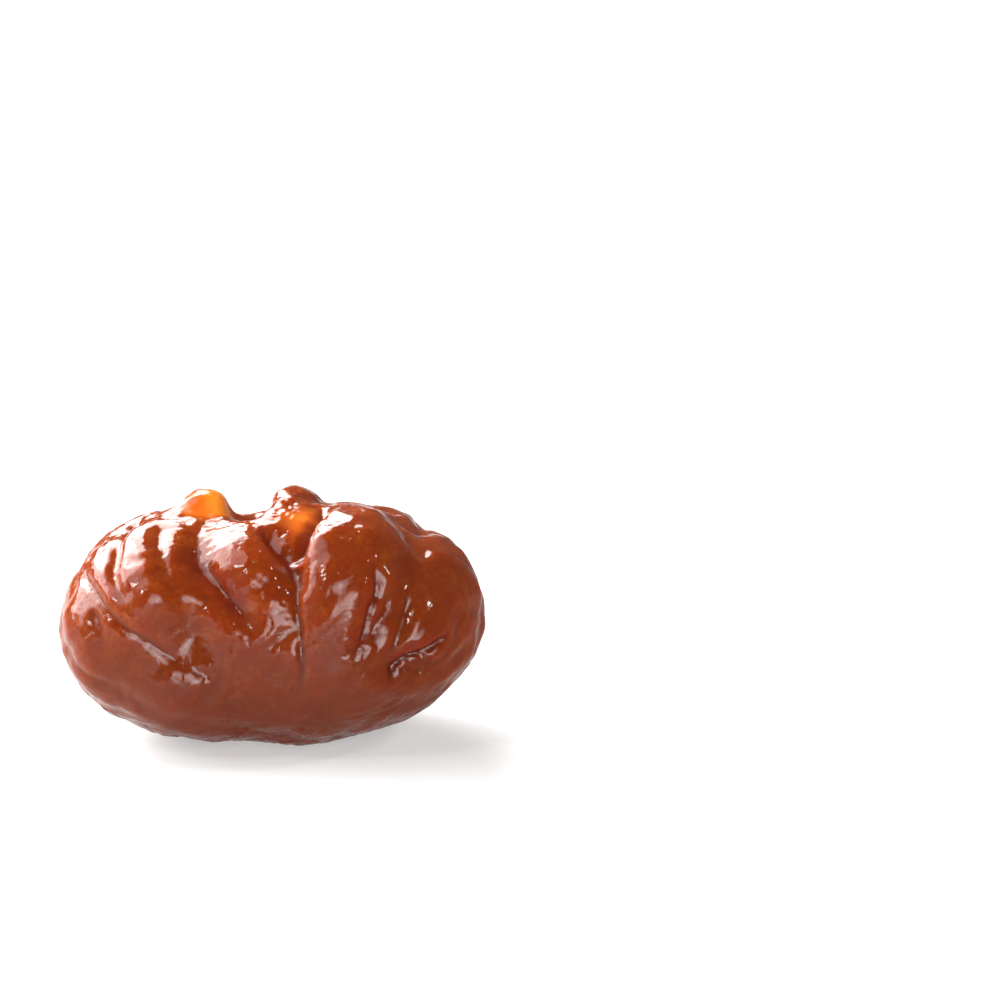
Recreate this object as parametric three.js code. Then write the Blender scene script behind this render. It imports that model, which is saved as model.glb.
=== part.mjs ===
// A candied chestnut: one whole kernel, boiled in syrup and glazed, lying on the face it was set down on.
// Millimetres, +Z up. X runs left to right, -Y is the side with the deep folds, and the origin is on the
// ground in the middle of the nut. The kernel is a flat, wide nut whose two halves have swollen into
// rounded lobes, with folds between them that fan out from the tip, low down at the front.
import * as THREE from "three";
import { mergeVertices } from "three/addons/utils/BufferGeometryUtils.js";

const { degToRad, smoothstep } = THREE.MathUtils;

// Driving dimensions of the whole nut.
const width = 40;
const depth = 29;
const height = 23.5;

const groundCut = 0.6; // depth of the flat that the nut rests on, pressed into its round underside
const lobeFillet = 2; // width over which two lobes melt into each other

const heart = new THREE.Vector3(0, 0, 10.5); // the point that the skin is drawn around
const outside = 40; // a distance that is well outside the nut, where the walks to its surface start
const sphereDetail = 23; // the ball that the skin is drawn from has 20 x (detail + 1)^2 triangles

// Lobes: centre, half sizes, a lean to the right and a nod forwards in degrees, and squareness: 2 is an
// ellipsoid, and more makes a lobe flatter in front, with squarer shoulders.
const lobes = [
  { name: "core", at: [0.2, 0.4, 9.3], half: [16.4, 13, 10.4], lean: 0, nod: 0, squareness: 2 },
  { name: "under left", at: [-8.3, -1.2, 7.9], half: [12, 12.5, 8], lean: 8, nod: 0, squareness: 2 },
  { name: "under right", at: [8.1, -0.9, 8.8], half: [11.3, 12.3, 8.2], lean: -17, nod: 0, squareness: 2 },
  { name: "left flap", at: [-14.7, -2.9, 10.9], half: [5.3, 9, 5.2], lean: -25, nod: 0, squareness: 2.5 },
  { name: "left cheek", at: [-11.2, -1.8, 13.7], half: [8.2, 11.7, 7.2], lean: -22, nod: 0, squareness: 2.2 },
  { name: "left ridge", at: [-1.2, -2.2, 12.2], half: [7.2, 11.6, 9.3], lean: -16, nod: -5, squareness: 2.4 },
  { name: "knob ridge", at: [-8.4, -0.6, 13.4], half: [3.8, 9.6, 6.2], lean: 6, nod: 8, squareness: 2 },
  { name: "knob", at: [-7, 0.4, 20.9], half: [2.35, 2.8, 2.3], lean: 6, nod: -10, squareness: 2.6 },
  { name: "knob's slope", at: [-9.7, 0.4, 18.8], half: [2.6, 2.8, 1.8], lean: -35, nod: 0, squareness: 2 },
  { name: "right lobe", at: [6.9, -2.9, 12.2], half: [6.5, 11.6, 10], lean: 4, nod: -13, squareness: 2.6 },
  { name: "rear lobe", at: [1.1, 1.3, 15.8], half: [4.6, 10.2, 7.3], lean: -4, nod: 14, squareness: 2 },
  { name: "front seam", at: [2, -2.4, 8], half: [6.5, 11.2, 7.8], lean: 0, nod: 0, squareness: 2 },
  { name: "right cheek", at: [12.8, -0.9, 11.6], half: [7, 11.3, 7.8], lean: 26, nod: 0, squareness: 2 },
  { name: "back left", at: [-7.9, 5.5, 11.1], half: [9.5, 8.9, 9], lean: 10, nod: 0, squareness: 2 },
  { name: "back right", at: [7.7, 5.5, 11.5], half: [9.7, 8.9, 9.2], lean: -10, nod: 0, squareness: 2 },
];

// Dents, and swellings where the depth is below zero: middle, half sizes and depth.
const dents = [
  { name: "recess under the torn edge", at: [14.4, -12, 9], half: [2.2, 3, 1.2], depth: 0.35 },
  { name: "dip behind the right lobe", at: [14, 4, 18.6], half: [1, 7, 2.2], depth: 0.6 },
  { name: "notch beside the rear lobe", at: [-2.3, -1, 21.4], half: [1.2, 4, 1.8], depth: 0.6 },
  { name: "saddle beside the knob", at: [-6.6, -4.5, 20.6], half: [1.8, 2.6, 1.6], depth: -0.7 },
  { name: "low front left", at: [-13.8, -8, 7.5], half: [2.6, 3, 1.6], depth: 0.25 },
  { name: "low front right", at: [11.8, -10.5, 5], half: [3, 3, 1.2], depth: 0.28 },
  { name: "right end", at: [16, 5, 14], half: [2.4, 2.4, 2.4], depth: 0.35 },
  { name: "left end", at: [-14.5, 6, 13], half: [2.6, 2.4, 2], depth: 0.35 },
  { name: "low at the back", at: [3.8, 12.5, 8], half: [2, 3, 1.6], depth: 0.3 },
];

// The folds are drawn on three planes and draped over the nut along the line of sight of each. The front
// and back planes lean, as if the nut were seen from a little above. A drawing's zero is the nut's lowest
// line.
const lean = degToRad(12);
const lowestLine = 6; // how far that line lies in front of the nut's middle, or behind it
const planes = {
  front: {
    zero: [0, -lowestLine, 0],
    up: [0, Math.sin(lean), Math.cos(lean)],
    sight: [0, Math.cos(lean), -Math.sin(lean)],
  },
  back: {
    zero: [0, lowestLine, 0],
    up: [0, -Math.sin(lean), Math.cos(lean)],
    sight: [0, -Math.cos(lean), -Math.sin(lean)],
  },
  top: { zero: [0, 0, 0], up: [0, 1, 0], sight: [0, 0, -1] },
};

// Folds: the skin rolls in from the reach on both sides down to the depth, and is rounded at the bottom.
// A lip lifts the skin on one side: right of the path if above zero. The ends are the shares of the path
// over which the fold fades in and out.
const foldRounding = 0.5;
const folds = [
  {
    name: "cleft", plane: "front", depth: 1.2, reach: 2.4, lip: 0, ends: [0.3, 0.35],
    path: [[-1.7, 21.7], [-1.1, 21], [0, 20.1], [1.2, 18.8], [2.1, 17.3], [2.8, 15.6], [3.1, 13.6]],
  },
  {
    name: "seam below the cleft", plane: "front", depth: 0.6, reach: 1.6, lip: -0.1, ends: [0.2, 0.4],
    path: [[2.5, 16.4], [2.9, 14.6], [3.1, 12.6], [3.4, 11], [3.5, 9.7], [3.5, 7], [3, 4]],
  },
  {
    name: "rear crease", plane: "front", depth: 0.9, reach: 2.2, lip: -0.1, ends: [0.1, 0.3],
    path: [[5, 22.5], [4.3, 21.9], [3.6, 21], [3.1, 19.2], [2.8, 17.3]],
  },
  {
    name: "left groove", plane: "front", depth: 1.3, reach: 2.6, lip: -0.1, ends: [0.5, 0.3],
    path: [
      [-4.8, 22.7], [-6, 21.7], [-6.8, 20.1], [-6.8, 18.5], [-6.1, 17.2],
      [-5.2, 16.1], [-3.3, 14], [-1.7, 11.9], [-0.9, 10.1],
    ],
  },
  {
    name: "long crease", plane: "front", depth: 0.6, reach: 1.8, lip: -0.05, ends: [0.05, 0.5],
    path: [
      [-18, 16.6], [-17.4, 16], [-16.5, 15.1], [-14.7, 13.1], [-13.3, 11.8],
      [-11.1, 10.4], [-9.4, 9.3], [-7.8, 8.3], [-4.5, 6.8], [-2.4, 6.3],
    ],
  },
  {
    name: "first cheek dip", plane: "front", depth: 0.7, reach: 1.6, lip: 0, ends: [0.05, 0.5],
    path: [
      [-13.4, 21.4], [-14.3, 19.8], [-14.5, 18.2], [-14.5, 16.8], [-13.8, 15.2], [-12.9, 13.8], [-12, 12.5],
    ],
  },
  {
    name: "second cheek dip", plane: "front", depth: 0.6, reach: 1.8, lip: 0, ends: [0.1, 0.6],
    path: [[-10.7, 21.2], [-10.3, 19.6], [-9.8, 17.9], [-9.1, 16.1], [-8.1, 14.4], [-7.1, 12.3]],
  },
  {
    name: "right groove", plane: "front", depth: 1.2, reach: 1.9, lip: 0.2, ends: [0.3, 0.3],
    path: [
      [9.6, 18.4], [10.4, 15.9], [10.4, 14.6], [9.9, 13.5], [9.3, 11.4], [8.6, 9.6], [7.9, 8.2],
    ],
  },
  {
    name: "second right groove", plane: "front", depth: 0.7, reach: 1.5, lip: 0, ends: [0.3, 0.4],
    path: [[12, 15], [11.5, 14.1], [11.1, 12.8], [10.5, 11.3], [10.2, 9.8], [9.7, 8.2]],
  },
  {
    name: "third right groove", plane: "front", depth: 0.7, reach: 1.5, lip: 0, ends: [0.3, 0.4],
    path: [[13.2, 15], [13, 13.2], [12.5, 11.4], [12, 10.2], [11.5, 8.7], [11, 7.3]],
  },
  {
    name: "torn edge", plane: "front", depth: 1, reach: 1.7, lip: -0.35, ends: [0.2, 0.2],
    path: [
      [11.3, 6.2], [11.7, 7.7], [12.5, 8.6], [13.5, 9.1],
      [14.3, 9.3], [15.2, 9.8], [16.1, 10.5], [17.1, 11.1],
    ],
  },
  {
    name: "cleft over the top", plane: "top", depth: 1.6, reach: 3.2, lip: 0, ends: [0.35, 0.2],
    path: [[-1.6, -4.5], [-2, -2], [-2.2, 1], [-1.6, 5], [-0.8, 9.5]],
  },
  {
    name: "back cleft", plane: "back", depth: 1.9, reach: 3.2, lip: 0.1, ends: [0.2, 0.3],
    path: [
      [-1.2, 20], [-0.4, 17.5], [0.6, 15], [0.6, 12.5], [-0.2, 10], [-0.6, 7.5], [0, 5], [0.6, 3],
    ],
  },
  {
    name: "back left furrow", plane: "back", depth: 1.4, reach: 2.8, lip: -0.1, ends: [0.3, 0.4],
    path: [[-8.8, 19.5], [-8.9, 17], [-8.2, 14.2], [-6.9, 11.5], [-6, 9], [-5.8, 6.5]],
  },
  {
    name: "back far left furrow", plane: "back", depth: 1, reach: 2.4, lip: 0, ends: [0.3, 0.4],
    path: [[-15.6, 15], [-14.2, 13], [-12.6, 11], [-11.4, 8.8], [-10.9, 6.5]],
  },
  {
    name: "back right furrow", plane: "back", depth: 1.5, reach: 2.8, lip: 0.15, ends: [0.2, 0.4],
    path: [[7.5, 19.6], [8, 18], [8.5, 15.5], [8.2, 12.8], [7, 10.2], [5.8, 7.8], [5.4, 5.5]],
  },
  {
    name: "back far right furrow", plane: "back", depth: 1, reach: 2.4, lip: 0, ends: [0.3, 0.4],
    path: [[14.6, 16.2], [14.6, 14], [13.8, 11.8], [12.2, 9.6], [10.8, 7.4]],
  },
];

const asVector = (numbers) => new THREE.Vector3(...numbers);

function turnOf(lobe) {
  const turn = new THREE.Euler(degToRad(lobe.nod), degToRad(lobe.lean), 0);
  return new THREE.Quaternion().setFromEuler(turn).invert();
}

const readyLobes = lobes.map((lobe) => ({
  centre: asVector(lobe.at),
  half: asVector(lobe.half),
  unturn: turnOf(lobe),
  power: lobe.squareness,
}));

// About how far a point lies outside one lobe, below zero inside it.
function lobeDistance({ centre, half, unturn, power }, point) {
  const shares = point.clone().sub(centre).applyQuaternion(unturn).divide(half).toArray().map(Math.abs);
  const reach = Math.max(shares.reduce((sum, share) => sum + share ** power, 0) ** (1 / power), 1e-9);
  const slope = shares.map((share, axis) => (share / reach) ** (power - 1) / half.getComponent(axis));
  return (reach - 1) / Math.max(Math.hypot(...slope), 1e-9);
}

// All lobes as one body: the nearest one counts, with a fillet where two are equally near.
function bodyDistance(point) {
  return readyLobes.reduce((joined, lobe) => {
    const next = lobeDistance(lobe, point);
    const mix = Math.max(1 - Math.abs(joined - next) / lobeFillet, 0);
    return Math.min(joined, next) - (mix * mix * lobeFillet) / 4;
  }, 1e3);
}

// Walks from a point along a direction and stops on the body, in steps too short to pass a thin lobe.
function walkToBody(start, direction) {
  const stepShare = 0.9;
  const nearEnough = 1e-3;
  const point = start.clone();
  for (let step = 0; step < 60; step++) {
    const gap = bodyDistance(point);
    point.addScaledVector(direction, stepShare * gap);
    if (Math.abs(gap) < nearEnough) break;
  }
  return point;
}

function bodyNormal(point) {
  const reach = 0.3;
  const slope = ["x", "y", "z"].map((axis) => {
    const ahead = point.clone();
    const behind = point.clone();
    ahead[axis] += reach;
    behind[axis] -= reach;
    return bodyDistance(ahead) - bodyDistance(behind);
  });
  return asVector(slope).normalize();
}

// A fold's path as short segments lying on the body.
function drape(fold) {
  const plane = planes[fold.plane];
  const sight = asVector(plane.sight);
  const knots = fold.path.map(([across, up]) => new THREE.Vector3(across, up, 0));
  const drawn = new THREE.CatmullRomCurve3(knots);
  const points = drawn.getSpacedPoints(5 * fold.path.length).map(({ x: across, y: up }) => {
    const start = asVector(plane.zero).addScaledVector(asVector(plane.up), up);
    start.x += across;
    return walkToBody(start.addScaledVector(sight, -outside), sight);
  });
  const segments = points.slice(1).map((end, i) => new THREE.Line3(points[i], end));
  return { ...fold, segments };
}

const drapedFolds = folds.map(drape);

// The nearest place on a fold: the gap to it, how far along it lies, and how far to its right the point is.
function nearestOn(fold, point, normal) {
  let best = { gap: Infinity };
  const spot = new THREE.Vector3();
  fold.segments.forEach((segment, i) => {
    const share = segment.closestPointToPointParameter(point, true);
    const gap = segment.at(share, spot).distanceTo(point);
    if (gap < best.gap) {
      best = { gap, way: point.clone().sub(spot), along: (i + share) / fold.segments.length, segment };
    }
  });
  const rightHand = best.segment.delta(new THREE.Vector3()).cross(normal).normalize();
  return { gap: best.gap, along: best.along, side: rightHand.dot(best.way) };
}

// How far the folds push the skin in at a point of the body. Each fades out at both ends of its path.
function foldDepth(point, normal) {
  return drapedFolds.reduce((sum, fold) => {
    const { gap, along, side } = nearestOn(fold, point, normal);
    const [fadeIn, fadeOut] = fold.ends;
    const strength = smoothstep(along, -0.01, fadeIn) * smoothstep(1 - along, -0.01, fadeOut);
    const rounded = Math.hypot(gap, foldRounding) - foldRounding;
    const rolled = Math.max(1 - rounded / fold.reach, 0) ** 2;
    const lifted = fold.lip * Math.tanh(side / foldRounding) * Math.exp(-((gap / (0.5 * fold.reach)) ** 2));
    return sum + strength * (fold.depth * rolled - lifted);
  }, 0);
}

function dentDepth(point) {
  return dents.reduce((sum, dent) => {
    const away = point.clone().sub(asVector(dent.at)).divide(asVector(dent.half));
    return sum + dent.depth * Math.exp(-away.lengthSq());
  }, 0);
}

// Slow unevenness of the boiled flesh, as waves of different length and direction that waver on their way.
const waves = [
  { length: 9.5, swell: 0.1, heading: [1, 0.4, 0.3], start: 0.4 },
  { length: 7.2, swell: 0.08, heading: [-0.3, 1, 0.5], start: 2.1 },
  { length: 6.1, swell: 0.08, heading: [0.4, -0.5, 1], start: 4.4 },
  { length: 4.3, swell: 0.06, heading: [1, 0.9, -0.6], start: 1.2 },
  { length: 3.7, swell: 0.05, heading: [-0.8, 0.5, 1], start: 5.3 },
].map((wave) => ({ ...wave, heading: asVector(wave.heading).normalize() }));

function unevenness(point) {
  return waves.reduce((sum, wave) => {
    const phase = (2 * Math.PI * point.dot(wave.heading)) / wave.length + wave.start;
    const waver = 1.3 * Math.sin(0.6 * phase);
    return sum + wave.swell * Math.sin(phase + waver);
  }, 0);
}

// The skin starts as a ball around the heart, and each of its corners is moved onto the nut.
function shapeSkin() {
  const ball = new THREE.IcosahedronGeometry(1, sphereDetail);
  ball.deleteAttribute("normal");
  ball.deleteAttribute("uv");
  const skin = mergeVertices(ball, 1e-5);
  const corners = skin.getAttribute("position");
  for (let i = 0; i < corners.count; i++) {
    const outwards = new THREE.Vector3().fromBufferAttribute(corners, i).normalize();
    const point = walkToBody(heart.clone().addScaledVector(outwards, outside), outwards.clone().negate());
    const normal = bodyNormal(point);
    point.addScaledVector(normal, unevenness(point) - dentDepth(point) - foldDepth(point, normal));
    corners.setXYZ(i, point.x, point.y, point.z);
  }
  return skin;
}

// Presses the resting face flat and brings the nut to its driving size, with the origin under its middle.
function settle(skin) {
  skin.computeBoundingBox();
  const ground = skin.boundingBox.min.z + groundCut;
  const corners = skin.getAttribute("position");
  for (let i = 0; i < corners.count; i++) corners.setZ(i, Math.max(corners.getZ(i), ground));
  skin.computeBoundingBox();
  const { min, max } = skin.boundingBox;
  skin.translate(-(min.x + max.x) / 2, -(min.y + max.y) / 2, -min.z);
  skin.scale(width / (max.x - min.x), depth / (max.y - min.y), height / (max.z - min.z));
  skin.computeVertexNormals();
  return skin;
}

const glazedKernel = new THREE.MeshStandardMaterial({ color: 0x9a4a22, roughness: 0.18, metalness: 0 });
const chestnut = new THREE.Mesh(settle(shapeSkin()), glazedKernel);
chestnut.name = "candied_chestnut";

const part = new THREE.Group();
part.add(chestnut);

export default part;
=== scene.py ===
"""A candied chestnut under a clear sugar glaze, on a pale floor in soft studio light."""
import math
from collections import namedtuple

import bmesh
import bpy
import numpy as np
from bpy.props import FloatProperty, FloatVectorProperty, IntProperty, PointerProperty
from mathutils import Matrix, Vector, noise
from mathutils.kdtree import KDTree


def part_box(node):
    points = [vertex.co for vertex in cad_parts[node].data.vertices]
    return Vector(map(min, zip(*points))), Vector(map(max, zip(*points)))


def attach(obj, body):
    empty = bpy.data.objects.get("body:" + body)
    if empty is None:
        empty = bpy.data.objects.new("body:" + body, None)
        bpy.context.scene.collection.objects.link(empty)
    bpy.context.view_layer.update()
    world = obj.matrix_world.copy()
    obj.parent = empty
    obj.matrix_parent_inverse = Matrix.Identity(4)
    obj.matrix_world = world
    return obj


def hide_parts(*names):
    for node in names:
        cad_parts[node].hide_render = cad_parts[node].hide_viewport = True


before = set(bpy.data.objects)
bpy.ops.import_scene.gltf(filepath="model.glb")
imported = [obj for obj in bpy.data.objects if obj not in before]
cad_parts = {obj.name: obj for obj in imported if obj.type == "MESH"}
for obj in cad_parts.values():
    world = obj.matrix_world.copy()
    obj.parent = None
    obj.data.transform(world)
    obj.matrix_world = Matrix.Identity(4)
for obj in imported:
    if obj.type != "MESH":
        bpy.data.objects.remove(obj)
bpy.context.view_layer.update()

bl_info = {
    "name": "Candied Chestnut",
    "version": (1, 0, 0),
    "blender": (4, 5, 0),
    "location": "View3D > Sidebar > Chestnut",
    "description": "Adds a candied chestnut with folds, pits and a sugar glaze, and a small studio",
    "category": "Add Mesh",
}

NODE = "candied_chestnut"
MM = 0.001

# The shape is worked out in millimetres and brought to the frame's box at the end. The origin is on the
# ground in the middle of the nut, X runs to the right and -Y is the side with the deep folds.

# Lobes of the kernel: centre, half sizes, a lean to the right and a nod forwards in degrees, and
# squareness: 2 is an ellipsoid, and more makes a lobe flatter in front, with squarer shoulders.
LOBES = (
    ((0.2, 0.4, 9.3), (16.4, 13.0, 10.4), 0, 0, 2),        # core
    ((-8.3, -1.2, 7.9), (12.0, 12.5, 8.0), 8, 0, 2),       # under left
    ((8.1, -0.9, 8.8), (11.3, 12.3, 8.2), -17, 0, 2),      # under right
    ((-14.7, -2.9, 10.9), (5.3, 9.0, 5.2), -25, 0, 2.5),   # left flap
    ((-11.2, -1.8, 13.7), (8.2, 11.7, 7.2), -22, 0, 2.2),  # left cheek
    ((-1.2, -2.2, 12.2), (7.2, 11.6, 9.3), -16, -5, 2.4),  # left ridge
    ((-8.4, -0.6, 13.4), (3.8, 9.6, 6.2), 6, 8, 2),        # knob ridge
    ((-7.0, 0.4, 20.9), (2.35, 2.8, 2.3), 6, -10, 2.6),    # knob
    ((-9.7, 0.4, 18.8), (2.6, 2.8, 1.8), -35, 0, 2),       # slope beside the knob
    ((6.9, -2.9, 12.2), (6.5, 11.6, 10.0), 4, -13, 2.6),   # right lobe
    ((1.1, 1.3, 15.8), (4.6, 10.2, 7.3), -4, 14, 2),       # rear right lobe
    ((2.0, -2.4, 8.0), (6.5, 11.2, 7.8), 0, 0, 2),         # front, between the two halves
    ((12.8, -0.9, 11.6), (7.0, 11.3, 7.8), 26, 0, 2),      # right cheek
    ((-7.9, 5.5, 11.1), (9.5, 8.9, 9.0), 10, 0, 2),        # back left
    ((7.7, 5.5, 11.5), (9.7, 8.9, 9.2), -10, 0, 2),        # back right
)
LOBE_FILLET = 2.0                      # width over which two lobes melt into each other
HEART = np.array((0.0, 0.0, 10.5))     # the point that the skin is drawn around
OUTSIDE = 40                           # well outside the nut, where the walks to its surface start
GROUND_CUT = 0.6                       # depth of the flat pressed into the round underside

# Planes that the folds are drawn on: zero, up, and the line of sight along which they are draped on the
# nut. The front and back planes lean, as if the nut were seen from a little above. Their zero is at its
# lowest line.
LEAN = math.radians(12)
LEAN_SIN, LEAN_COS = math.sin(LEAN), math.cos(LEAN)
LOWEST_LINE = 6.0                      # how far the lowest line lies in front of the middle, or behind it
PLANES = {
    "front": ((0, -LOWEST_LINE, 0), (0, LEAN_SIN, LEAN_COS), (0, LEAN_COS, -LEAN_SIN)),
    "back": ((0, LOWEST_LINE, 0), (0, -LEAN_SIN, LEAN_COS), (0, -LEAN_COS, -LEAN_SIN)),
    "top": ((0, 0, 0), (0, 1, 0), (0, 0, -1)),
}
PATH_SPACING = 0.4                     # length of the short segments that a draped fold is made of

# Folds: the skin rolls in from the reach on both sides down to the depth, and the width rounds the bottom.
# A lip above zero lifts the skin to the right of the path. The ends are the shares of the path over which
# the fold fades in and out. A shade of 1 paints shade on its floor, and one below zero paints a glow there.
Fold = namedtuple("Fold", "plane depth reach width lip ends shade path")
FOLDS = {
    "cleft": Fold("front", 1.0, 2.0, 0.3, 0.0, (0.3, 0.35), 1, (
        (-1.7, 21.7), (-1.1, 21), (0, 20.1), (1.2, 18.8), (2.1, 17.3), (2.8, 15.6), (3.1, 13.6))),
    "seam below the cleft": Fold("front", 0.4, 0.9, 0.12, -0.12, (0.2, 0.4), 0.8, (
        (2.5, 16.4), (2.9, 14.6), (3.1, 12.6), (3.4, 11), (3.5, 9.7), (3.5, 7), (3, 4))),
    "rear crease": Fold("front", 1.3, 1.9, 0.2, -0.35, (0.1, 0.3), 1, (
        (5.0, 22.5), (4.3, 21.9), (3.6, 21), (3.1, 19.2), (2.8, 17.3))),
    "left groove": Fold("front", 1.1, 2.5, 0.4, -0.1, (0.55, 0.3), 1, (
        (-4.8, 22.7), (-6, 21.7), (-6.8, 20.1), (-6.8, 18.5), (-6.1, 17.2), (-5.2, 16.1), (-3.3, 14),
        (-1.7, 11.9), (-0.9, 10.1))),
    "long crease": Fold("front", 0.3, 1.0, 0.2, -0.05, (0.05, 0.5), 1, (
        (-18, 16.6), (-17.4, 16), (-16.5, 15.1), (-14.7, 13.1), (-13.3, 11.8), (-11.1, 10.4),
        (-9.4, 9.3), (-7.8, 8.3), (-4.5, 6.8), (-2.4, 6.3))),
    "first cheek dip": Fold("front", 0.6, 1.2, 0.3, 0.0, (0.05, 0.5), -0.8, (
        (-13.4, 21.4), (-14.3, 19.8), (-14.5, 18.2), (-14.5, 16.8), (-13.8, 15.2), (-12.9, 13.8),
        (-12, 12.5))),
    "second cheek dip": Fold("front", 0.5, 1.5, 0.4, 0.0, (0.1, 0.6), -0.6, (
        (-10.7, 21.2), (-10.3, 19.6), (-9.8, 17.9), (-9.1, 16.1), (-8.1, 14.4), (-7.1, 12.3))),
    "flap dent": Fold("front", 0.3, 1.6, 0.3, 0.0, (0.3, 0.4), 1, (
        (-16.6, 13.6), (-16.2, 12.6), (-15.6, 11.6), (-15.1, 10.4))),
    "right groove": Fold("front", 0.9, 1.7, 0.16, 0.25, (0.3, 0.3), 0.9, (
        (9.6, 18.4), (10.4, 15.9), (10.4, 14.6), (9.9, 13.5), (9.3, 11.4), (8.6, 9.6), (7.9, 8.2))),
    "second right groove": Fold("front", 0.5, 1.3, 0.2, 0.0, (0.3, 0.4), 0.8, (
        (12, 15), (11.5, 14.1), (11.1, 12.8), (10.5, 11.3), (10.2, 9.8), (9.7, 8.2))),
    "third right groove": Fold("front", 0.5, 1.3, 0.2, 0.0, (0.3, 0.4), 0.8, (
        (13.2, 15), (13, 13.2), (12.5, 11.4), (12, 10.2), (11.5, 8.7), (11, 7.3))),
    "lip of the torn edge": Fold("front", -0.35, 1.3, 0.5, 0.0, (0.3, 0.3), 0, (
        (11.3, 8.2), (12.0, 9.3), (13.2, 10.0), (14.6, 10.3), (15.8, 11.1), (16.8, 12.0))),
    "torn edge": Fold("front", 0.8, 1.5, 0.14, -0.4, (0.2, 0.2), 1, (
        (11.3, 6.2), (11.7, 7.7), (12.5, 8.6), (13.5, 9.1), (14.3, 9.3), (15.2, 9.8), (16.1, 10.5),
        (17.1, 11.1))),
    "cleft over the top": Fold("top", 1.6, 3.2, 0.35, 0.0, (0.35, 0.2), 1, (
        (-1.6, -4.5), (-2, -2), (-2.2, 1), (-1.6, 5), (-0.8, 9.5))),
    "back cleft": Fold("back", 1.9, 3.2, 0.25, 0.1, (0.2, 0.3), 1, (
        (-1.2, 20), (-0.4, 17.5), (0.6, 15), (0.6, 12.5), (-0.2, 10), (-0.6, 7.5), (0, 5), (0.6, 3))),
    "back left furrow": Fold("back", 1.4, 2.8, 0.2, -0.1, (0.3, 0.4), 1, (
        (-8.8, 19.5), (-8.9, 17), (-8.2, 14.2), (-6.9, 11.5), (-6, 9), (-5.8, 6.5))),
    "back far left furrow": Fold("back", 1.0, 2.4, 0.2, 0.0, (0.3, 0.4), 1, (
        (-15.6, 15), (-14.2, 13), (-12.6, 11), (-11.4, 8.8), (-10.9, 6.5))),
    "back right furrow": Fold("back", 1.5, 2.8, 0.2, 0.15, (0.2, 0.4), 1, (
        (7.5, 19.6), (8, 18), (8.5, 15.5), (8.2, 12.8), (7, 10.2), (5.8, 7.8), (5.4, 5.5))),
    "back far right furrow": Fold("back", 1.0, 2.4, 0.2, 0.0, (0.3, 0.4), 1, (
        (14.6, 16.2), (14.6, 14), (13.8, 11.8), (12.2, 9.6), (10.8, 7.4))),
}

# Slow unevenness of the boiled flesh, as waves: length, swell, heading and start.
WAVES = (
    (9.5, 0.10, (1, 0.4, 0.3), 0.4),
    (7.2, 0.08, (-0.3, 1, 0.5), 2.1),
    (6.1, 0.08, (0.4, -0.5, 1), 4.4),
    (4.3, 0.06, (1, 0.9, -0.6), 1.2),
    (3.7, 0.05, (-0.8, 0.5, 1), 5.3),
)

# Dents and swellings (depth above or below zero): middle, half sizes, depth.
DENTS = (
    ((14.4, -12.0, 9.0), (2.2, 3.0, 1.2), 0.35),           # recess under the torn edge
    ((14.0, 4.0, 18.6), (1.0, 7.0, 2.2), 0.6),             # dip between the right lobe and the right cheek
    ((-2.3, -1.0, 21.4), (1.2, 4.0, 1.8), 0.6),            # notch between the left ridge and the rear lobe
    ((-6.6, -4.5, 20.6), (1.8, 2.6, 1.6), -0.7),           # saddle between the knob and the left ridge
    ((-13.8, -8.0, 7.5), (2.6, 3.0, 1.6), 0.25),           # low at the front left
    ((-2.0, -13.0, 6.2), (2.4, 3.0, 0.9), 0.22),           # low in the middle of the front
    ((11.8, -10.5, 5.0), (3.0, 3.0, 1.2), 0.28),           # low at the front right
    ((16.0, 5.0, 14.0), (2.4, 2.4, 2.4), 0.35),            # right end
    ((-14.5, 6.0, 13.0), (2.6, 2.4, 2.0), 0.35),           # left end
    ((3.8, 12.5, 8.0), (2.0, 3.0, 1.6), 0.3),              # low at the back
)

# Patches where the skin is pitted: middle, half sizes, number of pits and their depth.
PITTED = (
    ((8.2, -14.3, 11.0), (1.0, 2.0, 1.4), 26, 0.16),       # foot of the right groove
    ((-4.4, -13.2, 8.8), (3.2, 2.0, 0.9), 16, 0.05),       # end of the long crease
    ((-3.6, -12.0, 4.6), (1.6, 2.0, 0.7), 14, 0.12),       # low at the front
    ((14.2, -12.0, 9.4), (2.0, 2.0, 1.0), 34, 0.2),        # under the torn edge
    ((-12.0, 8.5, 9.0), (3.0, 2.0, 1.2), 24, 0.14),        # low at the back left
    ((6.5, 12.0, 14.0), (1.4, 2.0, 2.2), 20, 0.14),        # back right
    ((17.5, 2.0, 9.0), (1.5, 3.0, 1.2), 18, 0.12),         # right end
)
LOOSE_PIT_DEPTHS = (0.02, 0.09)
DEEP_PIT = 0.1                         # a pit of this depth gets the most painted shade on its floor

# Places painted with a glow, as if light came through: middle, reach and strength.
PAINTED_GLOWS = (
    ((-5.3, -0.8, 22.2), 1.6, 0.9),                        # right side of the knob
    ((-7.6, -1.4, 20.9), 2.0, 0.3),                        # left foot of the knob
    ((2.0, -3.5, 20.3), 2.8, 0.55),                        # face of the rear right lobe
    ((-2.2, -6.0, 19.2), 1.8, 0.3),                        # top of the left ridge
)
THIN_FLESH = 4.0                       # flesh thinner than this gets a painted glow, as if light came through

# Noise in the relief and the painted glow: how wide its lumps are, and an offset that sets it apart.
LUMPS, LUMPY_PLACES = (2.4, 5.0), (6.0, 11.0)
DIMPLES, FINE_DIMPLES, ROUGH_PLACES = (1.1, 9.0), (0.55, 15.0), (4.5, 20.0)
GRAIN, GRAINY_PLACES = (0.55, 40.0), (3.0, 50.0)
WRINKLES, FINE_WRINKLES = (1.0, 3.3), (1.0, 8.1)
PATCHY_GLOW = (1.6, 30.0)

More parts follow.
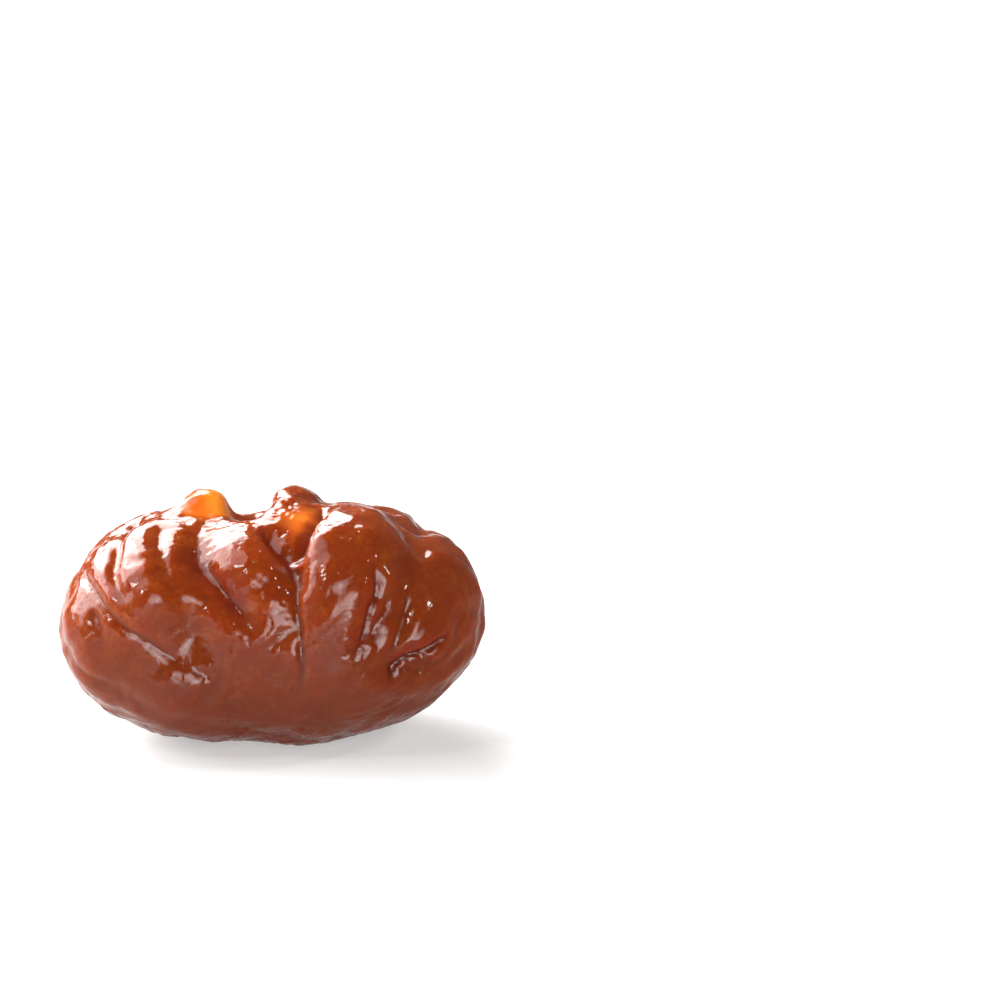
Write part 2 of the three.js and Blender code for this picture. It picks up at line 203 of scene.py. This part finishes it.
# Squeezes space along lines that lean 35 degrees, so that noise is drawn out into grain along them.
STRIATION = np.array(Matrix.Rotation(math.radians(35), 3, "Y") @ Matrix.Diagonal((1.0, 1.0, 0.4))
                     @ Matrix.Rotation(math.radians(-35), 3, "Y"))


# ---------------------------------------------------------------- settings

class ChestnutShape(bpy.types.PropertyGroup):
    """Sizes of the kernel's relief"""
    grid_cuts: IntProperty(
        name="Grid Cuts", description="Cuts across each of the six sides that the skin is made from",
        default=125, min=8, max=140)
    fold_depth: FloatProperty(
        name="Fold Depth", description="Depth of the folds as a share of the usual depth",
        default=1, min=0, max=1.5, subtype="FACTOR")
    lump_height: FloatProperty(
        name="Lump Height", description="Height of the soft lumps of the boiled flesh",
        default=0.10 * MM, min=0, max=0.3 * MM, precision=5, unit="LENGTH")
    dimple_depth: FloatProperty(
        name="Dimple Depth", description="Depth of the dimples that break up the shine",
        default=0.045 * MM, min=0, max=0.2 * MM, precision=5, unit="LENGTH")
    wrinkle_depth: FloatProperty(
        name="Wrinkle Depth", description="Depth of the fine wrinkles that run from the tip",
        default=0.07 * MM, min=0, max=0.2 * MM, precision=5, unit="LENGTH")
    grain_depth: FloatProperty(
        name="Grain Depth", description="Depth of the fine grain that breaks the shine into flecks",
        default=0.045 * MM, min=0, max=0.1 * MM, precision=5, unit="LENGTH")
    loose_pits: IntProperty(
        name="Loose Pits", description="Small pits scattered over the whole skin",
        default=260, min=0, max=1000)
    seed: IntProperty(name="Seed", description="Picks another scatter of pits", default=7, min=0)


class ChestnutGlaze(bpy.types.PropertyGroup):
    """Colours of the flesh, with its painted shade and painted glow, and finish of the sugar glaze"""
    flesh: FloatVectorProperty(
        name="Flesh", description="Colour of the thick flesh", default=(0.205, 0.0305, 0.003),
        min=0, max=1, subtype="COLOR")
    light: FloatVectorProperty(
        name="Light Flesh", description="Colour of the paler patches of the flesh",
        default=(0.40, 0.098, 0.009), min=0, max=1, subtype="COLOR")
    deep: FloatVectorProperty(
        name="Deep Flesh", description="Colour of the darker, more deeply soaked flesh",
        default=(0.165, 0.02, 0.0026), min=0, max=1, subtype="COLOR")
    # Painted shade: this colour darkens the fold floors, where shade falls.
    crease: FloatVectorProperty(
        name="Crease", description="Colour of the soaked flesh deep in the folds",
        default=(0.11, 0.007, 0.003), min=0, max=1, subtype="COLOR")
    # Painted shade: this colour darkens the underside and the right end.
    soaked: FloatVectorProperty(
        name="Soaked", description="Colour of the underside and right end, soaked with the most syrup",
        default=(0.10, 0.0155, 0.004), min=0, max=1, subtype="COLOR")
    # Painted glow: amber where the flesh is thinnest, as if light came through it.
    amber: FloatVectorProperty(
        name="Amber", description="Colour where the flesh is thin and glows",
        default=(0.74, 0.235, 0.018), min=0, max=1, subtype="COLOR")
    # Painted glow: ember where the flesh is thin, as if a little light came through it.
    ember: FloatVectorProperty(
        name="Ember", description="Colour where a little light comes through",
        default=(0.60, 0.115, 0.008), min=0, max=1, subtype="COLOR")
    glow_reach: FloatProperty(
        name="Glow Reach", description="How far red light spreads inside the flesh",
        default=3.5 * MM, min=0, max=10 * MM, precision=4, unit="LENGTH")
    glaze_roughness: FloatProperty(
        name="Glaze Roughness", description="Roughness of the wet sugar glaze",
        default=0.08, min=0, max=1, subtype="FACTOR")


class ChestnutStudio(bpy.types.PropertyGroup):
    """Floor, lights and camera"""
    floor_colour: FloatVectorProperty(
        name="Floor", description="Colour of the floor",
        default=(0.62, 0.62, 0.61), min=0, max=1, subtype="COLOR")
    floor_glow: FloatProperty(
        name="Floor Glow", description="Light that the floor gives off, as a light table does",
        default=0.4, min=0, max=5)
    mirrored_left: FloatProperty(
        name="Mirrored on the Left",
        description="Share of the floor's light that the glaze mirrors on the left",
        default=0.5, min=0, max=1, subtype="FACTOR")
    mirrored_right: FloatProperty(
        name="Mirrored on the Right",
        description="Share of the floor's light that the glaze mirrors on the right",
        default=0.07, min=0, max=1, subtype="FACTOR")
    mirrored_far: FloatProperty(
        name="Mirrored Far Off", description="How much brighter the floor is mirrored far off in front",
        default=2, min=0, max=10)
    camera_height: FloatProperty(
        name="Camera Height", description="Angle of the camera above the floor",
        default=math.radians(12), min=0, max=math.radians(89), unit="ROTATION")
    lens: FloatProperty(
        name="Lens", description="Focal length in millimetres", default=90, min=20, max=200)
    key_light: FloatProperty(
        name="Key Light", description="Brightness of the large lights behind, above and on the left",
        default=11.5, min=0, max=50)
    left_light: FloatProperty(
        name="Left Light", description="Brightness of the very wide light on the left",
        default=0.25, min=0, max=50)
    fill_light: FloatProperty(
        name="Fill Light", description="Brightness of the six lights that stand side by side in front",
        default=3.0, min=0, max=50)
    spot_light: FloatProperty(
        name="Spot Light", description="Brightness of the two small lights at the sides",
        default=32, min=0, max=200)
    room_light: FloatProperty(
        name="Room Light", description="Brightness of the room all around", default=0.1, min=0, max=5)


# ---------------------------------------------------------------- shape of the kernel

def unit(vectors):
    return vectors / np.linalg.norm(vectors, axis=-1, keepdims=True)


def smoothstep(values, low, high):
    share = np.clip((values - low) / (high - low), 0, 1)
    return share * share * (3 - 2 * share)


def ready_lobes():
    lobes = []
    for centre, half, lean, nod, squareness in LOBES:
        turn = Matrix.Rotation(math.radians(nod), 3, "X") @ Matrix.Rotation(math.radians(lean), 3, "Y")
        lobes.append((np.array(centre), np.array(half), np.array(turn), squareness))
    return lobes


READY_LOBES = ready_lobes()


def body_distance(points):
    """About how far points lie outside all lobes as one body, below zero inside it."""
    joined = np.full(len(points), 1e3)
    for centre, half, turn, power in READY_LOBES:
        scaled = np.abs((points - centre) @ turn / half)
        reach = np.sum(scaled ** power, axis=1) ** (1 / power)
        slope = (scaled / np.maximum(reach, 1e-9)[:, None]) ** (power - 1) / half
        gap = (reach - 1) / np.maximum(np.linalg.norm(slope, axis=1), 1e-9)
        mix = np.clip(1 - np.abs(joined - gap) / LOBE_FILLET, 0, None)
        joined = np.minimum(joined, gap) - mix * mix * LOBE_FILLET / 4
    return joined


def walk_to_body(starts, directions):
    """Walks from points along directions and stops on the body, in steps too short to pass a thin lobe."""
    step_share, near_enough = 0.9, 1e-3
    points = starts.copy()
    for _ in range(60):
        gap = body_distance(points)
        points += directions * (step_share * gap)[:, None]
        if np.abs(gap).max() < near_enough:
            break
    return points


def body_normals(points):
    reach = 0.3
    slopes = [body_distance(points + step) - body_distance(points - step) for step in np.eye(3) * reach]
    return unit(np.stack(slopes, axis=1))


def smooth_path(corners, spacing):
    """Evenly spaced points on a centripetal Catmull-Rom curve through the corners."""
    fine_steps, least_points = 20, 8
    p = np.array(corners, float)
    p = np.vstack((2 * p[0] - p[1], p, 2 * p[-1] - p[-2]))
    knots = np.concatenate(([0], np.cumsum(np.linalg.norm(np.diff(p, axis=0), axis=1) ** 0.5)))
    fine = []
    for i in range(1, len(p) - 2):
        t = np.linspace(knots[i], knots[i + 1], fine_steps, endpoint=False)[:, None]
        t0, t1, t2, t3 = knots[i - 1:i + 3]
        a1 = (t1 - t) / (t1 - t0) * p[i - 1] + (t - t0) / (t1 - t0) * p[i]
        a2 = (t2 - t) / (t2 - t1) * p[i] + (t - t1) / (t2 - t1) * p[i + 1]
        a3 = (t3 - t) / (t3 - t2) * p[i + 1] + (t - t2) / (t3 - t2) * p[i + 2]
        b1 = (t2 - t) / (t2 - t0) * a1 + (t - t0) / (t2 - t0) * a2
        b2 = (t3 - t) / (t3 - t1) * a2 + (t - t1) / (t3 - t1) * a3
        fine.append((t2 - t) / (t2 - t1) * b1 + (t - t1) / (t2 - t1) * b2)
    fine = np.vstack(fine + [p[-2:-1]])
    way = np.concatenate(([0], np.cumsum(np.linalg.norm(np.diff(fine, axis=0), axis=1))))
    count = max(int(way[-1] / spacing), least_points)
    even = np.linspace(0, way[-1], count + 1)
    return np.stack([np.interp(even, way, fine[:, axis]) for axis in range(p.shape[1])], axis=1)


def drape(plane, path):
    """A path drawn on a plane, laid on the body."""
    zero, up, sight = (np.array(v, float) for v in PLANES[plane])
    drawn = smooth_path(path, PATH_SPACING)
    starts = zero + drawn[:, 1:2] * up - OUTSIDE * sight
    starts[:, 0] += drawn[:, 0]
    return walk_to_body(starts, np.broadcast_to(sight, starts.shape))


def nearest_on(line, points, normals):
    """Each point's gap to a line, its share of the line's length, and how far right of it the point lies."""
    gap = np.full(len(points), np.inf)
    along = np.zeros(len(points))
    side = np.zeros(len(points))
    for i, (start, end) in enumerate(zip(line[:-1], line[1:])):
        step = end - start
        share = np.clip((points - start) @ step / (step @ step), 0, 1)
        way = points - (start + share[:, None] * step)
        here = np.linalg.norm(way, axis=1)
        closer = here < gap
        gap[closer] = here[closer]
        along[closer] = (i + share[closer]) / (len(line) - 1)
        right = unit(np.cross(step, normals[closer]))
        side[closer] = np.einsum("ij,ij->i", right, way[closer])
    return gap, along, side


def fold_depths(points, normals):
    """How far the folds push the skin in, and how much painted shade and painted glow their floors get."""
    margin = 6
    depth, fold_shade, glow = np.zeros((3, len(points)))
    for fold in FOLDS.values():
        line = drape(fold.plane, fold.path)
        middle = line.mean(0)
        span = np.linalg.norm(line - middle, axis=1).max() + margin
        near = np.linalg.norm(points - middle, axis=1) < span
        gap, along, side = nearest_on(line, points[near], normals[near])
        fade_in, fade_out = fold.ends
        strength = smoothstep(along, -0.01, fade_in) * smoothstep(1 - along, -0.01, fade_out)
        rounded = np.sqrt(gap * gap + fold.width ** 2) - fold.width
        rolled = np.clip(1 - rounded / fold.reach, 0, None) ** 2
        lip_reach = 0.4 * fold.reach
        lifted = fold.lip * np.tanh(side / (2 * fold.width)) * np.exp(-((gap / lip_reach) ** 2))
        depth[near] += strength * (fold.depth * rolled - lifted)
        # Painted shade on the fold's floor; a shade setting below zero paints a glow there instead.
        shade_and_glow_reach = 0.5 * fold.reach
        deep = min(fold.depth + 0.2, 1)
        shade_and_glow = fold.shade * strength * np.exp(-((gap / shade_and_glow_reach) ** 1.3)) * deep
        fold_shade[near] = np.maximum(fold_shade[near], shade_and_glow)
        glow[near] = np.maximum(glow[near], -shade_and_glow)
    return depth, fold_shade, glow


def dents(points):
    depth = np.zeros(len(points))
    for middle, half, deepest in DENTS:
        scaled = (points - np.array(middle)) / np.array(half)
        depth += deepest * np.exp(-np.sum(scaled * scaled, axis=1))
    return depth


def unevenness(points):
    swell = np.zeros(len(points))
    for length, height, heading, start in WAVES:
        phase = 2 * math.pi * points @ unit(np.array(heading, float)) / length + start
        waver = 1.3 * np.sin(0.6 * phase)
        swell += height * np.sin(phase + waver)
    return swell


def noise_at(points, size, start):
    """Smooth noise between about -1 and 1, with lumps about as wide as the size."""
    return np.array([noise.noise(Vector(p)) for p in points / size + start])


TIP = unit(np.array((0.15, -0.85, -0.5)))   # heading from the heart to the tip, low down at the front


def wrinkles(points):
    """Noise stretched along the lines that run from the tip round the nut to its base."""
    outwards = unit(points - HEART)
    along = np.arccos(np.clip(outwards @ TIP, -1, 1))
    side = unit(np.cross(TIP, (0, 0, 1)))
    other = np.cross(side, TIP)
    turn = np.arctan2(outwards @ side, outwards @ other)
    across, down = 16, 2.2    # the noise is this much finer around the tip than along the lines from it
    ring = np.stack((np.cos(turn) * across, np.sin(turn) * across, along * down), axis=1)
    finer = ring * (2.1, 2.1, 1.5)
    return noise_at(ring, *WRINKLES) + 0.5 * noise_at(finer, *FINE_WRINKLES)


def pits(points, shape):
    """Small round pits with a low rim, in patches and loose ones: how deep each point lies in them."""
    scatter, rim_height = 0.5, 0.2
    rng = np.random.default_rng(shape.seed)
    tree = KDTree(len(points))
    for i, point in enumerate(points):
        tree.insert(point, i)
    tree.balance()
    spots = []
    for middle, half, count, depth in PITTED:
        for _ in range(count):
            spot = np.array(middle) + rng.normal(0, scatter, 3) * half
            spots.append((spot, rng.uniform(0.22, 0.5), depth * rng.uniform(0.5, 1.2)))
    for _ in range(shape.loose_pits):
        spot = points[rng.integers(len(points))]
        spots.append((spot, rng.uniform(0.2, 0.45), rng.uniform(*LOOSE_PIT_DEPTHS)))
    hollow = np.zeros(len(points))
    for spot, radius, depth in spots:
        middle, _, _ = tree.find(spot)
        for _, i, gap in tree.find_range(middle, 1.8 * radius):
            share = gap / radius
            bowl = max(1 - share * share, 0) ** 2
            rim = math.exp(-((share - 1.15) / 0.35) ** 2)
            hollow[i] = max(hollow[i], depth * bowl) - rim_height * depth * rim * (hollow[i] <= 0)
    return hollow


def calm_places(x, y, z):
    """Below 1 on two smooth faces in front: the right lobe and the foot of the left cheek."""
    right_lobe = 0.6 * np.exp(-((x - 6.5) / 3.0) ** 2 - ((z - 12.5) / 5.0) ** 2)
    left_cheek = 0.7 * np.exp(-((x + 8.0) / 4.0) ** 2 - ((z - 11.5) / 3.5) ** 2)
    return 1 - (right_lobe + left_cheek) * (y < 0)


def wrinkled_places(x, y, z):
    """Where the wrinkles show most: the left end, and the fan of grooves at the front right."""
    left_end = smoothstep(-x, 13.5, 17.5)
    fan = smoothstep(x, 6, 10) * smoothstep(-y, 4, 9) * smoothstep(z, 3, 7) * smoothstep(17 - z, 0, 4)
    return 0.25 + 0.8 * left_end + 0.7 * fan


def fine_relief(points, shape):
    """Lumps, dimples, grain and wrinkles of the skin, in millimetres."""
    x, y, z = points.T
    calm = calm_places(x, y, z)
    lumpy = 0.65 + 0.5 * noise_at(points, *LUMPY_PLACES)
    lumps = noise_at(points, *LUMPS)
    rough = np.clip(0.7 + 1.2 * noise_at(points, *ROUGH_PLACES), 0.15, 1.4)
    dimples = noise_at(points, *DIMPLES) + 0.45 * noise_at(points, *FINE_DIMPLES)
    smoother_right = 0.35 * smoothstep(x, 2, 8)
    grainy = np.clip(0.45 + 1.3 * noise_at(points, *GRAINY_PLACES) - smoother_right, 0.1, 1.2)
    grain = noise_at(points @ STRIATION, *GRAIN)
    relief = shape.lump_height / MM * 2 * lumpy * lumps * calm
    relief += shape.dimple_depth / MM * 1.6 * rough * dimples * calm
    relief += shape.grain_depth / MM * 2 * grainy * grain
    relief += shape.wrinkle_depth / MM * 1.6 * wrinkled_places(x, y, z) * wrinkles(points)
    return relief


def painted_glow(points, normals, glow):
    """Painted glow: 0 where the flesh is thick behind the skin, up to 1 where it is thin, at the listed
    glows and in glowing fold floors, as if light came through.
    """
    inner = np.clip(-body_distance(points - THIN_FLESH * normals) / THIN_FLESH, 0, 1)
    light = 0.45 * glow
    for middle, reach, strength in PAINTED_GLOWS:
        away = np.linalg.norm(points - np.array(middle), axis=1)
        light += strength * np.exp(-((away / reach) ** 2))
    patchy = 1 + 0.5 * noise_at(points, *PATCHY_GLOW)
    return np.clip(0.6 * (1 - inner) ** 1.2 + light * patchy, 0, 1)


def cube_ball(cuts):
    """A bmesh cube cut into a fine grid, and the headings that blow it up to a ball with even faces."""
    bm = bmesh.new()
    bmesh.ops.create_cube(bm, size=2)
    bmesh.ops.subdivide_edges(bm, edges=bm.edges[:], cuts=cuts, use_grid_fill=True)
    mesh = bpy.data.meshes.new("glazed_chestnut")
    bm.to_mesh(mesh)
    bm.free()
    corners = np.empty(len(mesh.vertices) * 3)
    mesh.vertices.foreach_get("co", corners)
    spread = np.tan(corners.reshape(-1, 3) * (math.pi / 4))
    return mesh, unit(spread)


def settle(points):
    """Presses the resting face flat and brings the nut to the frame's box."""
    ground = points[:, 2].min() + GROUND_CUT
    points[:, 2] = np.maximum(points[:, 2], ground)
    low, high = (np.array(corner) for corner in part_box(NODE))
    span = points.max(0) - points.min(0)
    return low + (points - points.min(0)) / span * (high - low)


def store(mesh, name, values):
    """Keeps a value for each corner of a mesh, for its material."""
    layer = mesh.attributes.new(name, "FLOAT", "POINT")
    layer.data.foreach_set("value", values.astype(np.float32))


# ---------------------------------------------------------------- materials

class Nodes:
    """Adds nodes to a material and links them by name."""

    def __init__(self, name):
        self.material = bpy.data.materials.new(name)
        self.material.use_nodes = True
        self.tree = self.material.node_tree
        self.shader = self.tree.nodes["Principled BSDF"]
        self.place = self.add("ShaderNodeTexCoord").outputs["Object"]

    def add(self, kind, inputs=None, **settings):
        node = self.tree.nodes.new(kind)
        for key, value in settings.items():
            setattr(node, key, value)
        for key, value in (inputs or {}).items():
            self.put(node.inputs[key], value)
        return node

    def put(self, socket, value):
        if isinstance(value, bpy.types.NodeSocket):
            self.tree.links.new(value, socket)
        else:
            socket.default_value = value

    def maths(self, operation, *values):
        return self.add("ShaderNodeMath", dict(enumerate(values)), operation=operation).outputs[0]

    def mix(self, share, first, second):
        """The first colour where the share is 0, and the second where it is 1."""
        node = self.add("ShaderNodeMix", data_type="RGBA")
        for key, value in (("Factor_Float", share), ("A_Color", first), ("B_Color", second)):
            self.put(next(s for s in node.inputs if s.identifier == key), value)
        return next(s for s in node.outputs if s.identifier == "Result_Color")

    def range(self, value, low, high, to_low=0.0, to_high=1.0):
        """Brings a value from one range into another, and holds it there."""
        span = {"From Min": low, "From Max": high, "To Min": to_low, "To Max": to_high}
        return self.add("ShaderNodeMapRange", {"Value": value, **span}).outputs["Result"]

    def noise(self, size, detail, roughness=0.5):
        inputs = {"Vector": self.place, "Scale": 1 / size, "Detail": detail, "Roughness": roughness}
        return self.add("ShaderNodeTexNoise", inputs).outputs["Fac"]

    def attribute(self, name):
        return self.add("ShaderNodeAttribute", attribute_name=name).outputs["Fac"]


def opaque(colour):
    return (*colour, 1.0)


def flesh_colour(n, glaze):
    """Clouds, pale patches and darker grains; painted shade low down, on the right, in folds and in pits;
    amber painted glow where thin.
    """
    cloud_size, patch_size, grain_size = 3.2 * MM, 1.9 * MM, 0.45 * MM
    fold, thin, pit = (n.attribute(name) for name in ("fold", "thin", "pit"))
    clouds = n.range(n.noise(cloud_size, 3), 0.35, 0.68)
    patches = n.range(n.noise(patch_size, 4, 0.6), 0.48, 0.72, 0, 0.35)
    grains = n.range(n.noise(grain_size, 3, 0.6), 0.38, 0.62, 0, 0.8)
    place = n.add("ShaderNodeSeparateXYZ", {"Vector": n.place})
    # Painted shade: darker towards the right end and towards the bottom.
    shade_to_right = n.range(place.outputs["X"], 1 * MM, 15 * MM, 0, 0.5)
    shade_to_bottom = n.range(place.outputs["Z"], 15 * MM, 4 * MM, 0, 0.95)
    pit_shade = [0.7 * c for c in glaze.deep]
    colour = opaque(glaze.flesh)
    for share, next_colour in (
        (clouds, glaze.deep),
        (patches, glaze.light),
        (grains, glaze.deep),
        (shade_to_right, glaze.soaked),
        (shade_to_bottom, glaze.soaked),
        # Painted shade in the fold floors.
        (n.range(fold, 0.1, 1, 0, 0.8), glaze.crease),
        # Painted shade on the pit floors.
        (n.range(pit, 0, 1, 0, 0.4), pit_shade),
        # Painted glow where the flesh is thin.
        (n.range(thin, 0.2, 0.6, 0, 0.9), glaze.ember),
        (n.range(thin, 0.5, 0.95), glaze.amber),
    ):
        colour = n.mix(share, colour, opaque(next_colour))
    return colour


def glaze_ripples(n):
    """Fine ripples, and small beads on some of the cells of a scatter."""
    ripple_size, bead_spacing, bump_height = 0.3 * MM, 0.8 * MM, 0.06 * MM
    ripples = n.maths("MULTIPLY", n.noise(ripple_size, 2), 0.33)
    cells = n.add("ShaderNodeTexVoronoi", {"Vector": n.place, "Scale": 1 / bead_spacing, "Randomness": 1.0})
    cell_number = n.add("ShaderNodeSeparateColor", {"Color": cells.outputs["Color"]}).outputs[0]
    some = n.range(cell_number, 0.55, 0.6)
    beads = n.maths("MULTIPLY", n.range(cells.outputs["Distance"], 0.17, 0.05), some)
    height = n.maths("ADD", ripples, n.maths("MULTIPLY", beads, 0.6))
    bump = n.add("ShaderNodeBump", {"Strength": 1.0, "Distance": bump_height, "Height": height})
    return bump.outputs["Normal"]


def glazed_flesh(glaze):
    """Translucent amber-brown flesh with painted shade in the folds, under a clear wet glaze with fine
    ripples.
    """
    n = Nodes("glazed_flesh")
    n.put(n.shader.inputs["Base Color"], flesh_colour(n, glaze))
    n.put(n.shader.inputs["Coat Normal"], glaze_ripples(n))
    for socket, value in (
        ("Subsurface Weight", 1.0),
        ("Subsurface Radius", (1.0, 0.3, 0.1)),
        ("Subsurface Scale", glaze.glow_reach),
        ("Roughness", 0.4),
        ("IOR", 1.45),
        ("Specular IOR Level", 0.0),
        ("Coat Weight", 1.0),
        ("Coat Roughness", glaze.glaze_roughness),
        ("Coat IOR", 1.4),
    ):
        n.shader.inputs[socket].default_value = value
    return n.material


class CHESTNUT_OT_kernel(bpy.types.Operator):
    """Adds the glazed chestnut in place of the plain kernel"""
    bl_idname = "chestnut.kernel"
    bl_label = "Glazed Chestnut"

    def execute(self, context):
        shape = context.scene.chestnut_shape
        mesh, outwards = cube_ball(shape.grid_cuts)
        points = walk_to_body(HEART + OUTSIDE * outwards, -outwards)
        normals = body_normals(points)
        depth, fold_shade, glow = fold_depths(points, normals)
        hollow = pits(points, shape)
        relief = unevenness(points) + fine_relief(points, shape)
        # fold carries painted shade for the fold floors, thin a painted glow, and pit the depth that paints
        # shade on pit floors.
        store(mesh, "fold", fold_shade)
        store(mesh, "thin", painted_glow(points, normals, glow))
        store(mesh, "pit", np.clip(hollow / DEEP_PIT, 0, 1))
        points += normals * (relief - dents(points) - shape.fold_depth * depth - hollow)[:, None]
        mesh.vertices.foreach_set("co", settle(points).ravel())
        mesh.shade_smooth()
        mesh.update()
        nut = bpy.data.objects.new("glazed_chestnut", mesh)
        context.scene.collection.objects.link(nut)
        mesh.materials.append(glazed_flesh(context.scene.chestnut_glaze))
        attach(nut, "root")
        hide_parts(NODE)
        return {"FINISHED"}


# ---------------------------------------------------------------- studio

# The photograph: its side in pixels, its scale at the nut, and the pixel where the frame's origin shows.
PHOTO_SIDE = 1000
PIXELS_PER_METRE = 10400
GROUND_PIXEL = (278, 729.8)
SENSOR_WIDTH = 36    # millimetres

FLOOR_HALF = 12.0    # metres

# Soft round lights far away: azimuth from the front, plus to the right, height and width in degrees, the
# setting that holds the brightness, and the share of it.
SKY_LIGHTS = (
    ("back_left", -150, 38, 44, "key_light", 0.9),
    ("top_left", -85, 58, 44, "key_light", 0.25),
    ("far_left", -120, 33, 50, "key_light", 0.5),
    ("near_left", -84, 24, 30, "key_light", 0.35),
    ("left", -80, 8, 100, "left_light", 1),
    *(("front", azimuth, height, 24, "fill_light", 1) for azimuth in (4, 21) for height in (4, 14, 24)),
    ("left_spot", -47, 42, 9, "spot_light", 1),
    ("right_spot", 80, 40, 9, "spot_light", 1),
)


def add_camera(context, studio):
    """A camera that looks down at the nut and holds it where the photograph has it."""
    height = studio.camera_height
    right = Vector((1, 0, 0))
    up = Vector((0, math.sin(height), math.cos(height)))
    back = Vector((0, -math.cos(height), math.sin(height)))
    distance = PHOTO_SIDE / PIXELS_PER_METRE / 2 / (SENSOR_WIDTH / 2 / studio.lens)
    aim = right * ((PHOTO_SIDE / 2 - GROUND_PIXEL[0]) / PIXELS_PER_METRE)
    aim += up * ((GROUND_PIXEL[1] - PHOTO_SIDE / 2) / PIXELS_PER_METRE)
    data = bpy.data.cameras.new("camera")
    data.lens = studio.lens
    data.sensor_width = SENSOR_WIDTH
    data.clip_start = 0.01
    camera = bpy.data.objects.new("camera", data)
    camera.location = aim + back * distance
    camera.rotation_euler = (math.radians(90) - height, 0, 0)
    context.scene.collection.objects.link(camera)
    context.scene.camera = camera


def add_sky_light(context, name, azimuth, height, width, radiance):
    data = bpy.data.lights.new(name, "SUN")
    data.angle = math.radians(width)
    data.energy = radiance * 2 * math.pi * (1 - math.cos(data.angle / 2))
    light = bpy.data.objects.new(name, data)
    turn, rise = math.radians(azimuth), math.radians(height)
    level = math.cos(rise)
    towards = Vector((math.sin(turn) * level, -math.cos(turn) * level, math.sin(rise)))
    light.location = towards
    light.rotation_euler = towards.to_track_quat("Z", "Y").to_euler()
    context.scene.collection.objects.link(light)


def add_floor(context, studio):
    """A pale floor that glows. The glaze mirrors it dimmer on the right and brighter far off in front."""
    dimming_starts, dimming_ends = 8 * MM, 35 * MM
    near, far_off = -50 * MM, -160 * MM
    bm = bmesh.new()
    bmesh.ops.create_grid(bm, x_segments=1, y_segments=1, size=FLOOR_HALF)
    mesh = bpy.data.meshes.new("floor")
    bm.to_mesh(mesh)
    bm.free()
    floor = bpy.data.objects.new("floor", mesh)
    context.scene.collection.objects.link(floor)
    n = Nodes("floor")
    place = n.add("ShaderNodeSeparateXYZ", {"Vector": n.place})
    kept = n.range(
        place.outputs["X"], dimming_starts, dimming_ends, studio.mirrored_left, studio.mirrored_right)
    kept = n.maths("MULTIPLY", kept, n.range(place.outputs["Y"], near, far_off, 1, studio.mirrored_far))
    mirrored = n.add("ShaderNodeLightPath").outputs["Is Glossy Ray"]
    share = n.add("ShaderNodeMix", {"Factor": mirrored, "A": 1.0, "B": kept}).outputs["Result"]
    n.put(n.shader.inputs["Base Color"], n.mix(share, opaque((0, 0, 0)), opaque(studio.floor_colour)))
    n.put(n.shader.inputs["Emission Strength"], n.maths("MULTIPLY", share, studio.floor_glow))
    n.shader.inputs["Roughness"].default_value = 0.8
    n.shader.inputs["Emission Color"].default_value = (1, 1, 1, 1)
    mesh.materials.append(n.material)


def add_room(context, studio):
    """Faint white light from all around."""
    world = bpy.data.worlds.new("studio")
    world.use_nodes = True
    background = world.node_tree.nodes["Background"]
    background.inputs["Color"].default_value = (1, 1, 1, 1)
    background.inputs["Strength"].default_value = studio.room_light
    context.scene.world = world


class CHESTNUT_OT_stage(bpy.types.Operator):
    """Adds a pale floor, soft lights and the camera"""
    bl_idname = "chestnut.stage"
    bl_label = "Studio"

    def execute(self, context):
        studio = context.scene.chestnut_studio
        add_floor(context, studio)
        add_camera(context, studio)
        add_room(context, studio)
        for name, azimuth, height, width, setting, share in SKY_LIGHTS:
            add_sky_light(context, name, azimuth, height, width, getattr(studio, setting) * share)
        context.scene.view_settings.view_transform = "Standard"
        return {"FINISHED"}


class CHESTNUT_PT_sidebar(bpy.types.Panel):
    """Lists the chestnut's settings and the buttons that add it and its studio"""
    bl_idname = "CHESTNUT_PT_sidebar"
    bl_label = "Candied Chestnut"
    bl_space_type = "VIEW_3D"
    bl_region_type = "UI"
    bl_category = "Chestnut"

    def draw(self, context):
        layout = self.layout
        groups = (
            (context.scene.chestnut_shape, ChestnutShape),
            (context.scene.chestnut_glaze, ChestnutGlaze),
            (context.scene.chestnut_studio, ChestnutStudio),
        )
        for settings, group in groups:
            box = layout.box()
            for name in group.__annotations__:
                box.prop(settings, name)
        layout.operator(CHESTNUT_OT_kernel.bl_idname)
        layout.operator(CHESTNUT_OT_stage.bl_idname)


CLASSES = (
    ChestnutShape, ChestnutGlaze, ChestnutStudio,
    CHESTNUT_OT_kernel, CHESTNUT_OT_stage, CHESTNUT_PT_sidebar,
)


def register():
    for cls in CLASSES:
        bpy.utils.register_class(cls)
    bpy.types.Scene.chestnut_shape = PointerProperty(type=ChestnutShape)
    bpy.types.Scene.chestnut_glaze = PointerProperty(type=ChestnutGlaze)
    bpy.types.Scene.chestnut_studio = PointerProperty(type=ChestnutStudio)


def unregister():
    del bpy.types.Scene.chestnut_studio
    del bpy.types.Scene.chestnut_glaze
    del bpy.types.Scene.chestnut_shape
    for cls in reversed(CLASSES):
        bpy.utils.unregister_class(cls)


def main():
    register()
    bpy.ops.chestnut.kernel()
    bpy.ops.chestnut.stage()


if __name__ == "__main__":
    main()
